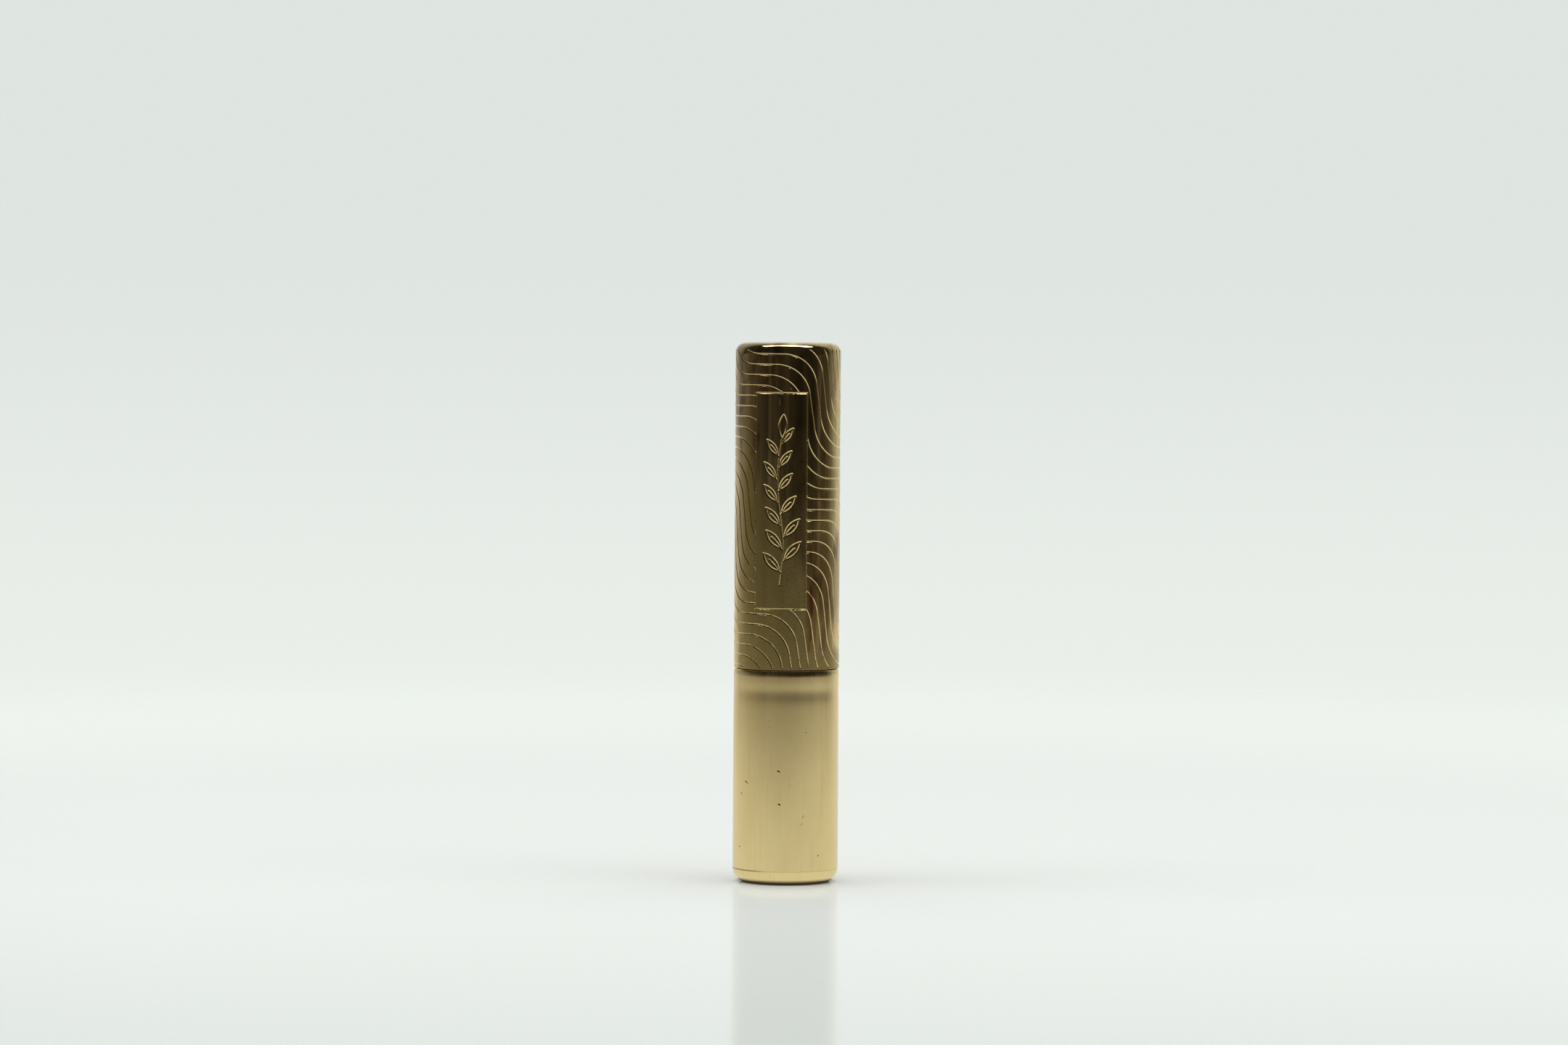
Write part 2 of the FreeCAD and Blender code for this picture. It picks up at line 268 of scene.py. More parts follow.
def panel_strokes():
    """The plain frame round the panel."""
    side = PANEL_WIDTH / 2
    corners = [(-side, PANEL_LOW), (side, PANEL_LOW), (side, PANEL_HIGH), (-side, PANEL_HIGH)]
    halves = (PANEL_END_HALF, PANEL_SIDE_HALF) * 2
    return [(straight(start, end), half, PANEL_DEPTH)
            for start, end, half in zip(corners, corners[1:] + corners[:1], halves)]


def bowed(start, end, bow, step=STATION, least=4):
    """A curve between two points that bows to one side by part of its length."""
    steps = max(least, round(dist(start, end) / step))
    out = []
    for i in range(steps + 1):
        t = i / steps
        (u, v), swell = between(start, end, t), 4 * bow * t * (1 - t)
        out.append((u + (start[1] - end[1]) * swell, v + (end[0] - start[0]) * swell))
    return out


def straight(start, end):
    """Points along a straight line."""
    return bowed(start, end, 0.0, 2 * STATION, 2)


def sprig_strokes():
    """A leafy sprig up the panel: a swaying stem, pairs of leaves with veins, and a bud."""
    tall, sway, sways = SPRIG_HIGH - SPRIG_LOW, 0.45, 1.25
    stem_end, stem_steps = 0.86, 90
    leaves, first_leaf, leaf_span = 12, 0.07, 0.75
    leaf_size, stalk, belly, vein_part = 3.7, 0.5, 0.17, 0.62

    def stem_at(t):
        return sway * sin(2 * pi * t * sways), SPRIG_LOW + tall * t

    lines = [[stem_at(i / stem_steps * stem_end) for i in range(stem_steps + 1)]]
    for index in range(leaves):
        t = first_leaf + leaf_span * index / (leaves - 1)
        side = 1 if index % 2 else -1
        size = leaf_size * (1 - 0.35 * t)
        lean = radians(44 - 10 * t)
        foot = stem_at(t)
        neck = (foot[0] + side * stalk * sin(lean), foot[1] + stalk * cos(lean))
        tip = (neck[0] + side * size * sin(lean), neck[1] + size * cos(lean))
        lines += [straight(foot, neck), bowed(neck, tip, belly), bowed(neck, tip, -belly),
                  bowed(neck, between(neck, tip, vein_part), 0.03 * side)]
    foot = stem_at(stem_end)
    bud = (foot[0] + 0.25, SPRIG_HIGH)
    lines += [bowed(foot, bud, 0.16), bowed(foot, bud, -0.16)]
    return [(line, SPRIG_HALF, SPRIG_DEPTH) for line in lines]


def stadium(line, reach):
    """A closed outline at one distance all round a line, with rounded ends."""
    left, right = [], []
    for index, here in enumerate(line):
        before, after = line[max(index - 1, 0)], line[min(index + 1, len(line) - 1)]
        du, dv = after[0] - before[0], after[1] - before[1]
        size = hypot(du, dv)
        nu, nv = -dv / size * reach, du / size * reach
        left.append((here[0] + nu, here[1] + nv))
        right.append((here[0] - nu, here[1] - nv))

    def end(centre, beside):
        ahead = atan2(beside[1] - centre[1], beside[0] - centre[0])
        return [(centre[0] + reach * cos(ahead - k * pi / 4),
                 centre[1] + reach * sin(ahead - k * pi / 4)) for k in (1, 2, 3)]

    return left + end(line[-1], left[-1]) + right[::-1] + end(line[0], right[0])


class Engraving:
    """The cuts on the flat layout, and the depth and slope that they give at any point."""

    def __init__(self, strokes):
        self.strokes = strokes
        marks = []
        for line, half, depth in strokes:
            for start, end in zip(line, line[1:]):
                steps = max(1, ceil(dist(start, end) / MARK_STEP))
                marks += [(*between(start, end, k / steps), half, depth) for k in range(steps)]
            marks.append((*line[-1], half, depth))
        self.marks = marks
        self.tree = KDTree(len(marks))
        for index, (u, v, _, _) in enumerate(marks):
            self.tree.insert((u, v, 0), index)
        self.tree.balance()

    def at(self, u, v):
        """Depth, and its slope along u and v."""
        _, index, away = self.tree.find((u, v, 0))
        mark_u, mark_v, half, depth = self.marks[index]
        part = away / half
        if part > 0.95:  # from here out the skin is left smooth
            return 0.0, (0.0, 0.0)
        if away < 1e-9:
            return depth, (0.0, 0.0)
        steep = 2 * depth * part / half
        return depth * (1 - part * part), (steep * (u - mark_u) / away, steep * (v - mark_v) / away)

    def near(self, u, v, reach):
        """Whether a groove's middle is closer than this."""
        return self.tree.find((u, v, 0))[2] < reach


def skin(u, v, depth=0.0):
    """Place of a point of the layout on the cap, and its outward normal before any slope."""
    round_start = CAP_TOP - CROWN_RISE - CROWN_ROUND - CAP_BOTTOM
    tilt = max(0.0, v - round_start) / CROWN_ROUND
    inset = TUBE_RADIUS - CROWN_ROUND
    r = inset + (CROWN_ROUND - depth) * cos(tilt) if tilt else TUBE_RADIUS - depth
    z = CAP_BOTTOM + (round_start + (CROWN_ROUND - depth) * sin(tilt) if tilt else v)
    turn = u / TUBE_RADIUS
    around = (sin(turn), -cos(turn))
    normal = (around[0] * cos(tilt), around[1] * cos(tilt), sin(tilt))
    return (r * around[0], r * around[1], z), normal


class CapMesh:
    """Points, normals and depths of cut of the cap's shell."""

    def __init__(self, engraving):
        self.engraving = engraving
        self.points, self.normals, self.cuts = [], [], []
        self.number = {}  # the vertex at each place of the layout

    def add(self, point, normal, cut=0.0):
        self.points.append(point)
        self.normals.append(normal)
        self.cuts.append(cut)
        return len(self.points) - 1

    def vertex(self, u, v):
        """The vertex at a place of the layout, sunk and tilted by the engraving."""
        key = (round(u, 3), round(v, 3))
        if key not in self.number:
            depth, (slope_u, slope_v) = self.engraving.at(u, v)
            point, upright = skin(u, v, depth)
            across = Vector((cos(u / TUBE_RADIUS), sin(u / TUBE_RADIUS), 0))
            normal = Vector(upright) - slope_u * across - slope_v * Vector((0, 0, 1))
            self.number[key] = self.add(point, normal.normalized(), depth / GROOVE_DEPTH)
        return self.number[key]

    def edge(self, v):
        """The vertices along an upper or lower edge of the layout, and their places round the cap."""
        row = sorted((u, index) for (u, w), index in self.number.items() if abs(w - v) < 1e-3)
        return [index for _, index in row], [u for u, _ in row]

    def rings(self, outline, around):
        """Rows of vertices that turn an outline about the axis. A point on the axis is one vertex."""
        rows = []
        for (r, z), (nr, nz) in outline:
            row = []
            for u in around if r > TINY else around[:1]:
                out, back = sin(u / TUBE_RADIUS), -cos(u / TUBE_RADIUS)
                row.append(self.add((r * out, r * back, z), Vector((nr * out, nr * back, nz))))
            rows.append(row if r > TINY else row * len(around))
        return rows


def skin_faces(shell, flat, triangles):
    """Faces of the engraved skin. The layout's two sides meet at the back and share vertices."""
    half = AROUND / 2
    left_side = sorted(v for u, v in flat if abs(u + half) < TINY)

    def place(index):
        u, v = flat[index]
        if abs(u - half) < TINY:
            u, v = -half, min(left_side, key=lambda other: abs(other - v))
        return shell.vertex(u, v)

    faces = []
    for triangle in triangles:
        if all(abs(flat[i][0]) < half + TINY for i in triangle):
            corners = [place(i) for i in triangle]
            if len(set(corners)) == 3:
                faces.append(corners)
    return faces


def cap_outlines():
    """Outline of the crown, from the skin's upper edge to the axis, and of the inside back down."""
    bore, rim = TUBE_RADIUS - SHELL_WALL, CAP_TOP - CROWN_RISE
    round_r, round_z = TUBE_RADIUS - CROWN_ROUND, rim - CROWN_ROUND
    tilt = degrees((SKIN_HIGH + CAP_BOTTOM - round_z) / CROWN_ROUND)
    dome = (round_r ** 2 + CROWN_RISE ** 2) / (2 * CROWN_RISE)
    edge = degrees(acos(round_r / dome))
    crown = arc(round_r, round_z, CROWN_ROUND, tilt, 90, 12)[1:]
    crown += arc(0, CAP_TOP - dome, dome, edge, 90, 8)[1:-1] + [((0, CAP_TOP), UP)]
    inside = [((0, rim - SHELL_WALL), DOWN), ((round_r, rim - SHELL_WALL), DOWN)]
    inside += inward(arc(round_r, round_z, CROWN_ROUND - SHELL_WALL, 90, 0, 6))
    inside += [((bore, CAP_BOTTOM + EDGE_CHAMFER), IN), ((bore + EDGE_CHAMFER, CAP_BOTTOM), DOWN),
               ((TUBE_RADIUS - EDGE_CHAMFER, CAP_BOTTOM), DOWN)]
    return crown, inside


def engraved_cap():
    """The cap's shell: engraved skin, rounded crown with a faint dome, and the bore inside."""
    engraving = Engraving(wave_strokes() + panel_strokes() + sprig_strokes())
    shell = CapMesh(engraving)
    faces = skin_faces(shell, *laid_out(engraving, AROUND / 2, EDGE_CHAMFER, SKIN_HIGH))
    crown, inside = cap_outlines()
    top_ring, around = shell.edge(SKIN_HIGH)
    low_ring, _ = shell.edge(EDGE_CHAMFER)
    faces += joined([top_ring] + shell.rings(crown, around), closed=False)
    faces += joined(shell.rings(inside, around) + [low_ring], closed=False)
    cap = make_mesh("engraved_cap", shell.points, faces, shell.normals)
    mark = cap.data.attributes.new("cut", "FLOAT", "POINT")
    mark.data.foreach_set("value", np.clip(shell.cuts, 0, 1).astype(np.float32))
    return cap


def laid_out(engraving, half, low, high):
    """Triangles of the flat layout, with every groove's rows as their edges."""
    verts, edges = [], []

    def chain(points, closed):
        first, count = len(verts), len(points)
        verts.extend(Vector(p) for p in points)
        for k in range(count if closed else count - 1):
            edges.append((first + k, first + (k + 1) % count))

    bottom = [(-half + 2 * half * k / CAP_COLUMNS, low) for k in range(CAP_COLUMNS + 1)]
    side = [low + (high - low) * k / CAP_ROWS for k in range(1, CAP_ROWS)]
    outline = bottom + [(half, v) for v in side] + [(u, high) for u, _ in bottom[::-1]]
    chain(outline + [(-half, v) for v in side[::-1]], True)
    for line, reach, _ in engraving.strokes:
        chain(line, False)
        for row in ROWS:
            chain(stadium(line, reach * row), True)
    for i in range(1, round(2 * half / LAND_STEP)):
        for j in range(1, round((high - low) / LAND_STEP)):
            u, v = -half + i * LAND_STEP, low + j * LAND_STEP
            clear = u < half - LAND_STEP / 2 and v < high - LAND_STEP / 2
            if clear and not engraving.near(u, v, LAND_CLEAR):
                verts.append(Vector((u, v)))
    flat, _, triangles, *_ = delaunay_2d_cdt(verts, edges, [], 0, 1e-5)
    return flat, triangles


# ---- base, foot and wand

CRIMP_HEIGHT, CRIMP_HALF, CRIMP_DEPTH = 29.2, 1.2, 0.026
HAIRLINE = 0.03  # depth of the line between barrel and foot
SPIGOT_FIT, SPIGOT_BORE = 0.01, 7.1
RECESS_HEIGHT, RECESS_RADIUS, FOOT_FLOOR = 0.35, 4.4, 0.8
BRUSH_TURN = 3.2  # height of one twist of the wire


def crimp(z):
    """Point and normal of the barrel's skin near the shallow ring pressed in below its lip."""
    part = (z - CRIMP_HEIGHT) / CRIMP_HALF
    dip = CRIMP_DEPTH * exp(-part * part)
    slope = 2 * part / CRIMP_HALF * dip
    size = hypot(1, slope)
    return (TUBE_RADIUS - dip, z), (1 / size, -slope / size)


def base_barrel():
    """Plain barrel with its rolled lip; the lower edge is chamfered over the foot's hairline."""
    bore, chamfer_top = TUBE_RADIUS - SHELL_WALL, BARREL_BOTTOM + HAIRLINE / 2
    lip_in, lip_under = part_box("inner_cap")[1].x / MM, LIP_TOP - SHELL_WALL
    soft, fold = 0.05, 0.02  # the small roundings of the lip's inner edges and the bore's
    taper_low = LIP_TOP - LIP_EDGE - TAPER_HEIGHT
    lean = asin(TAPER_HEIGHT / TAPER_RADIUS)
    edge = LIP_EDGE / (1 - sin(lean))
    edge_r = TUBE_RADIUS - TAPER_RADIUS + (TAPER_RADIUS - edge) * cos(lean)
    outline = [((bore, BARREL_BOTTOM), DOWN), ((TUBE_RADIUS - HAIRLINE, BARREL_BOTTOM), DOWN),
               ((TUBE_RADIUS, chamfer_top), (0.9, -0.43)), ((TUBE_RADIUS, chamfer_top + HAIRLINE), OUT)]
    outline += [crimp(CRIMP_HEIGHT + CRIMP_HALF * k / 8) for k in range(-20, 14)]
    outline += arc(TUBE_RADIUS - TAPER_RADIUS, taper_low, TAPER_RADIUS, 0, degrees(lean), 8)
    outline += arc(edge_r, LIP_TOP - edge, edge, degrees(lean), 90, 10)[1:]
    outline += [((lip_in + soft, LIP_TOP), UP), ((lip_in, LIP_TOP - soft), IN),
                ((lip_in, lip_under), IN), ((lip_in + soft, lip_under), DOWN),
                ((bore - fold, lip_under), DOWN), ((bore, lip_under - fold), IN),
                ((bore, BARREL_BOTTOM + fold), IN)]
    return turned("base_barrel", outline)


def foot_cup():
    """Rounded foot: its contact ring, the recess under it and the spigot inside the barrel."""
    _, low, spigot_top = extent("foot_cap")
    spigot, centre = TUBE_RADIUS - SHELL_WALL - SPIGOT_FIT, TUBE_RADIUS - FOOT_ROUND
    inner = SPIGOT_BORE - centre
    outline = [((0, RECESS_HEIGHT), DOWN), ((RECESS_RADIUS - 0.1, RECESS_HEIGHT), DOWN),
               ((RECESS_RADIUS, RECESS_HEIGHT - 0.04), (-0.6, -0.8)),
               ((RECESS_RADIUS + 0.15, low + 0.05), (-0.6, -0.8)), ((RECESS_RADIUS + 0.25, low), DOWN)]
    outline += arc(centre, low + FOOT_ROUND, FOOT_ROUND, -90, 0, 24)
    outline += [((TUBE_RADIUS, BARREL_BOTTOM - HAIRLINE / 2), OUT),
                ((TUBE_RADIUS - HAIRLINE, BARREL_BOTTOM), (0.6, 0.8)),
                ((spigot, BARREL_BOTTOM), UP), ((spigot, BARREL_BOTTOM + 0.03), OUT),
                ((spigot, spigot_top), UP), ((SPIGOT_BORE, spigot_top), UP),
                ((SPIGOT_BORE, spigot_top - 0.05), IN), ((SPIGOT_BORE, FOOT_FLOOR + inner), IN)]
    outline += inward(arc(centre, FOOT_FLOOR + inner, inner, 0, -90, 8))
    outline += [((0, FOOT_FLOOR), UP)]
    return turned("foot_cup", outline)


def brush_radius(t):
    """Reach of the bristles at a part of the brush's height, from its tip."""
    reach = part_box("bristles")[1].x / MM
    swell_end, shoulder_start, tip_part = 0.42, 0.78, 0.38
    swell = min(1.0, (t / swell_end) ** 0.7)
    shoulder = 1 - 0.3 * max(0.0, (t - shoulder_start) / (1 - shoulder_start)) ** 1.5
    return reach * (tip_part + (1 - tip_part) * swell) * shoulder - 0.03


def brush_filaments():
    """Bristles in a double helix between the wires, each a thin tapered rod, drawn into clumps."""
    draw = random.Random(7)
    _, low, high = extent("bristles")
    count, root, root_size, tip_size = 2100, 0.35, 0.062, 0.034
    end_gap, tip_gap = 0.25, 0.05
    clump_width, clump_pull = 0.32, 0.45
    points, faces = [], []
    for index in range(count):
        t = (index + draw.random()) / count
        z = low + end_gap + (high - low - 2 * end_gap) * t
        side = pi * (index % 2)
        angle = 2 * pi * z / BRUSH_TURN + side + draw.gauss(0, 0.22)
        reach = brush_radius(t) * (1 - 0.07 * draw.random() ** 2)
        lift = draw.gauss(0, 0.16)
        clump = round(angle / clump_width) * clump_width
        tip_angle = angle + (clump - angle) * clump_pull + draw.gauss(0, 0.02)
        tip_z = min(max(z + lift, low + tip_gap), high - tip_gap)
        rod(points, faces, (root, angle, z), (reach, tip_angle, tip_z), root_size, tip_size)
    return make_mesh("brush_bristles", points, faces)


def rod(points, faces, root, tip, thick, thin):
    """A three-sided tapered rod from one (radius, angle, height) to another, in three stretches."""
    first, sides, stretches = len(points), 3, 3
    for k in range(stretches + 1):
        t = k / stretches
        r, _, z = between(root, tip, t)
        a = root[1] + (tip[1] - root[1]) * t * t
        centre, size = Vector((r * cos(a), r * sin(a), z)), thick + (thin - thick) * t
        for corner in range(sides):
            turn = 2 * pi * corner / sides
            sideways = Vector((-sin(a), cos(a), 0)) * cos(turn)
            points.append(tuple(centre + (sideways + Vector((0, 0, 1)) * sin(turn)) * size))
    for k in range(stretches):
        for corner in range(sides):
            after = (corner + 1) % sides
            low, high = first + sides * k, first + sides * (k + 1)
            faces.append([low + corner, low + after, high + after, high + corner])
    last = first + sides * stretches
    faces += [[first + 2, first + 1, first], [last, last + 1, last + 2]]


def brush_paste():
    """Mascara left on the brush: a lumpy helical coat round the wire."""
    draw = random.Random(11)
    _, low, high = extent("bristles")
    low, high = low + 0.3, high - 0.2
    rows, columns = 230, 40
    core, least = 0.68, 0.66  # radius of the bare coat, and the least anywhere
    bumps = [[draw.random() for _ in range(columns)] for _ in range(rows)]
    points, grid = [], []
    for i in range(rows):
        t = i / (rows - 1)
        z = low + (high - low) * t
        end = min(1.0, 6 * min(t, 1 - t)) ** 0.5
        grid.append([])
        for j in range(columns):
            angle = 2 * pi * j / columns
            wave = 0.5 + 0.5 * cos(2 * (angle - 2 * pi * z / BRUSH_TURN))
            near = sum(bumps[(i + a) % rows][(j + b) % columns] for a in (-1, 0, 1) for b in (-1, 0, 1)) / 9
            coat = end * (0.25 + 0.75 * wave + 0.9 * (near - 0.5)) * (0.45 + 0.4 * t)
            r = max(core + coat, least)
            grid[-1].append(len(points))
            points.append((r * cos(angle), r * sin(angle), z))
    faces = joined(grid, closed=False)
    for row, order in ((grid[0], -1), (grid[-1], 1)):
        centre = len(points)
        points.append((0, 0, points[row[0]][2]))
        faces += [[row[j], row[(j + 1) % columns], centre][::order] for j in range(columns)]
    return make_mesh("brush_paste", points, faces)


# ---- materials

class Look:
    """A material and short calls for its nodes. Positions are the object's own, in metres."""

    def __init__(self, name, metal=0.0, rough=0.5, **sockets):
        self.material = bpy.data.materials.new(name)
        self.material.use_nodes = True
        self.nodes = self.material.node_tree.nodes
        self.links = self.material.node_tree.links
        self.shader = self.nodes["Principled BSDF"]
        for socket, value in {"Metallic": metal, "Roughness": rough, **sockets}.items():
            self.shader.inputs[socket.replace("_", " ")].default_value = value
        self.place = self.add("ShaderNodeTexCoord").outputs["Object"]

    def add(self, kind, inputs=None, **settings):
        node = self.nodes.new(kind)
        for key, value in settings.items():
            setattr(node, key, value)
        for key, value in (inputs or {}).items():
            self.plug(value, node.inputs[key])
        return node

    def plug(self, value, socket):
        if isinstance(value, bpy.types.NodeSocket):
            self.links.new(value, socket)
        else:
            socket.default_value = value

    def axes(self):
        """X, Y and Z of the place, in metres."""
        return list(self.add("ShaderNodeSeparateXYZ", {"Vector": self.place}).outputs)

    def distance(self, vector):
        return self.add("ShaderNodeVectorMath", {0: vector}, operation="LENGTH").outputs["Value"]

    def mapped(self, kind="POINT", **inputs):
        """The place, shifted, turned or stretched."""
        inputs["Vector"] = self.place
        return self.add("ShaderNodeMapping", inputs, vector_type=kind).outputs[0]

    def noise(self, size, detail=4.0, stretch=(1, 1, 1), shift=0.0):
        """Smooth noise whose blobs are about `size` millimetres, stretched along the axes."""
        spread = self.mapped(Location=(shift,) * 3, Scale=tuple(1 / k for k in stretch))
        return self.add("ShaderNodeTexNoise", {"Vector": spread, "Scale": 1 / (size * MM),
                                               "Detail": detail, "Roughness": 0.55}).outputs[0]

    def spots(self, spacing, size, shift=0.0):
        """Scattered small round spots, 1 inside them, about `spacing` millimetres apart."""
        moved = self.mapped(Location=(shift,) * 3)
        cells = self.add("ShaderNodeTexVoronoi", {"Vector": moved, "Scale": 1 / (spacing * MM)})
        return self.fade(cells.outputs["Distance"], size / spacing, size / spacing / 2)

    def fade(self, value, start, end, low=0.0, high=1.0):
        """Smooth step of a value from `low` at `start` to `high` at `end`."""
        inputs = {"Value": value, "From Min": start, "From Max": end, "To Min": low, "To Max": high}
        return self.add("ShaderNodeMapRange", inputs, interpolation_type="SMOOTHSTEP").outputs[0]

    def fade_mm(self, length, start, end):
        """Smooth step of a length from 0 at `start` to 1 at `end`, both in millimetres."""
        return self.fade(length, start * MM, end * MM)

    def off_mm(self, length, middle):
        """How far a length is from a middle given in millimetres."""
        return self.math("ABSOLUTE", self.math("SUBTRACT", length, middle * MM))

    def math(self, operation, *values):
        node = self.add("ShaderNodeMath", operation=operation)
        for socket, value in zip(node.inputs, values):
            self.plug(value, socket)
        return node.outputs[0]

    def times(self, first, second):
        return self.math("MULTIPLY", first, second)

    def scaled(self, value, scale, base):
        """value x scale + base"""
        return self.math("MULTIPLY_ADD", value, scale, base)

    def blend(self, factor, first, second, strength=1.0):
        """The first colour where the factor is 0, and as much of the second as its strength at 1."""
        factor = factor if strength == 1.0 else self.times(factor, strength)
        return self.add("ShaderNodeMix", {0: factor, 6: first, 7: second}, data_type="RGBA").outputs[2]

    def colour(self, value):
        self.plug(value, self.shader.inputs["Base Color"])

    def roughness(self, value, scale, base):
        self.plug(self.scaled(value, scale, base), self.shader.inputs["Roughness"])

    def bump(self, *layers):
        """Surface relief from (height value, depth in millimetres) layers, one over the other."""
        normal = None
        for value, depth in layers:
            node = self.add("ShaderNodeBump", {"Height": value, "Distance": depth * MM, "Strength": 1.0})
            if normal is not None:
                self.links.new(normal, node.inputs["Normal"])
            normal = node.outputs["Normal"]
        self.links.new(normal, self.shader.inputs["Normal"])

    def surface(self, shader):
        self.links.new(shader, self.nodes["Material Output"].inputs["Surface"])

    def glow(self, shade):
        """Make the material shine with a colour, and nothing else."""
        self.surface(self.add("ShaderNodeEmission", {"Color": shade, "Strength": 1.0}).outputs[0])


def rgb(r, g, b):
    return (r, g, b, 1.0)


def toned(colour, factor):
    """A colour made lighter or darker."""
    return rgb(*(min(1, part * factor) for part in colour[:3]))


GOLD = rgb(0.90, 0.715, 0.355)
GOLD_WARM = rgb(0.86, 0.65, 0.30)
OLD_GOLD = rgb(0.80, 0.625, 0.295)
OLD_GOLD_WARM = rgb(0.70, 0.49, 0.20)
SCUFFED_GOLD = rgb(0.75, 0.68, 0.50)
# The brown of real tarnish, also used as painted shade on the cap's upper left
TARNISH_AND_SHADE = rgb(0.23, 0.15, 0.07)
HAZE = rgb(0.43, 0.325, 0.125)
RUST = rgb(0.30, 0.09, 0.03)
VERDIGRIS = rgb(0.10, 0.20, 0.11)
DARK = rgb(0.03, 0.02, 0.01)
LIP_SATIN = 0.12  # roughness where the lip is rubbed

# Small marks on the plating: bearing in degrees, height, width, length, lean in degrees, strength
BASE_MARKS = (
    (0.2, 17.35, 0.12, 0.34, 58, 1.0), (1.1, 12.35, 0.13, 0.28, 62, 1.0),
    (-40.0, 15.5, 0.09, 0.50, 60, 0.8), (-48.7, 13.7, 0.16, 0.24, 10, 0.5),
    (-52.2, 5.6, 0.13, 0.13, 0, 1.0), (46.4, 4.5, 0.12, 0.12, 0, 1.0),
    (27.2, 10.5, 0.06, 0.34, -12, 0.5), (25.8, 9.4, 0.06, 0.28, -30, 0.4),
    (-10.9, 24.9, 0.06, 0.24, -40, 0.5), (-9.6, 24.0, 0.08, 0.09, 0, 0.8),
    (30.1, 23.2, 0.09, 0.10, 0, 0.9), (57.2, 29.0, 0.09, 0.09, 0, 0.8),
    (121.0, 19.0, 0.10, 0.50, 25, 0.7), (168.0, 8.6, 0.12, 0.20, -50, 0.9),
    (-140.0, 21.5, 0.08, 0.36, 15, 0.7),
)
CAP_MARKS = (
    (1.5, 74.4, 0.10, 0.42, 5, 0.9), (-1.2, 72.9, 0.06, 0.80, 2, 0.5),
    (11.0, 74.9, 0.04, 0.34, 40, 0.5), (66.0, 37.0, 0.10, 0.12, 0, 0.9),
    (155.0, 61.0, 0.08, 0.70, 30, 0.6), (-120.0, 50.0, 0.07, 0.50, -20, 0.6),
)
RUST_MARKS = ((35.5, 43.0, 0.38, 3.2, 2, 0.8), (35.0, 38.0, 0.24, 1.6, -3, 0.6),
              (34.5, 49.5, 0.30, 1.8, 3, 0.5))
MARK_REACH = 0.4  # how far a mark reaches into the metal, so that it stays on one side


def marks(look, places):
    """1 inside the small marks, 0 elsewhere."""
    total = 0.0
    for bearing, height, width, length, lean, strength in places:
        turn, out = radians(bearing), TUBE_RADIUS * MM
        spread = look.mapped("TEXTURE", Rotation=(0, radians(-lean), turn),
                             Location=(out * sin(turn), -out * cos(turn), height * MM),
                             Scale=(width * MM, MARK_REACH * MM, length * MM))
        inside = look.fade(look.distance(spread), 1.0, 0.55, 0.0, strength)
        total = look.math("MAXIMUM", total, inside)
    return total


def worn_haze(look, cloud, fine, right, up):
    """Where the cap's polish is worn: below a slant on its left, and along its lower hem."""
    uneven = look.math("SUBTRACT", cloud, 0.5)
    slant = look.scaled(uneven, 0.009, look.scaled(right, 1.6, up))
    corner = look.times(look.fade_mm(slant, 57.5, 51.5), look.fade_mm(right, 4.5, 3.4))
    hem = look.fade_mm(look.scaled(uneven, 0.003, up), 36.2, 34.5)
    haze = look.times(look.math("MAXIMUM", corner, hem), look.fade_mm(right, -7.4, -5.2))
    return look.times(haze, look.fade(fine, 0.30, 0.55, 0.72, 1.0))


def brown_film_and_shade(look, right, up):
    """Thin brown film, uneven all over and thicker beside the panel, and painted shade in the same brown on
    the upper left.
    """
    film = look.times(look.fade(look.noise(2.0, stretch=(1, 1, 3), shift=3.0), 0.46, 0.72), 0.5)
    # painted shade: darkens the cap's upper left
    upper = look.times(look.fade_mm(up, 58, 70), look.fade_mm(right, 1.5, -0.5))
    beside = look.times(look.fade_mm(right, 2.4, 3.6), look.fade_mm(look.off_mm(up, 46.5), 8.5, 4))
    return look.scaled(look.math("MAXIMUM", upper, beside), 0.55, film)


def engraved_gold():
    """Polished gold-tone plating: smudges, brown film, painted shade on the upper left, green in the low
    grooves and worn haze.
    """
    look = Look("engraved_gold", metal=1.0, rough=0.1)
    right, _, up = look.axes()
    cut = look.fade(look.add("ShaderNodeAttribute", attribute_name="cut").outputs["Fac"], 0.05, 0.6)
    open_skin = look.scaled(cut, -0.8, 1.0)
    cloud, fine = look.noise(3.2, stretch=(1, 1, 2.2)), look.noise(0.3, detail=3)
    smudge = look.fade(cloud, 0.42, 0.7)
    streak = look.fade(look.noise(0.7, detail=3, stretch=(1, 1, 14)), 0.5, 0.68)
    haze = worn_haze(look, cloud, fine, right, up)
    kept = look.times(haze, open_skin)
    patina = look.times(look.times(cut, look.fade(look.noise(0.9, detail=5, shift=7.0), 0.50, 0.62)), haze)
    pits = look.times(look.spots(0.7, 0.07), look.fade(look.noise(2.0, shift=1.0), 0.5, 0.62))
    scuffs = marks(look, CAP_MARKS)
    gold = look.blend(smudge, OLD_GOLD, OLD_GOLD_WARM, 0.5)
    gold = look.blend(streak, gold, TARNISH_AND_SHADE, 0.35)
    # brown film, and painted shade on the upper left
    gold = look.blend(look.times(brown_film_and_shade(look, right, up), open_skin), gold, TARNISH_AND_SHADE)
    gold = look.blend(kept, gold, HAZE)
    gold = look.blend(patina, gold, VERDIGRIS, 0.75)
    gold = look.blend(pits, gold, DARK, 0.8)
    gold = look.blend(marks(look, RUST_MARKS), gold, RUST)
    look.colour(look.blend(scuffs, gold, SCUFFED_GOLD))
    dull = look.scaled(kept, 0.2, look.times(smudge, 0.05))
    dull = look.scaled(scuffs, 0.5, look.scaled(patina, 0.3, dull))
    look.roughness(fine, 0.05, look.math("ADD", dull, 0.035))
    grain = look.noise(0.12, detail=4)
    look.bump((look.noise(2.6, detail=2, stretch=(1, 1, 4)), 0.010), (fine, 0.0012), (scuffs, 0.01),
              (look.times(haze, grain), 0.004), (look.times(cut, grain), 0.016))
    return look.material


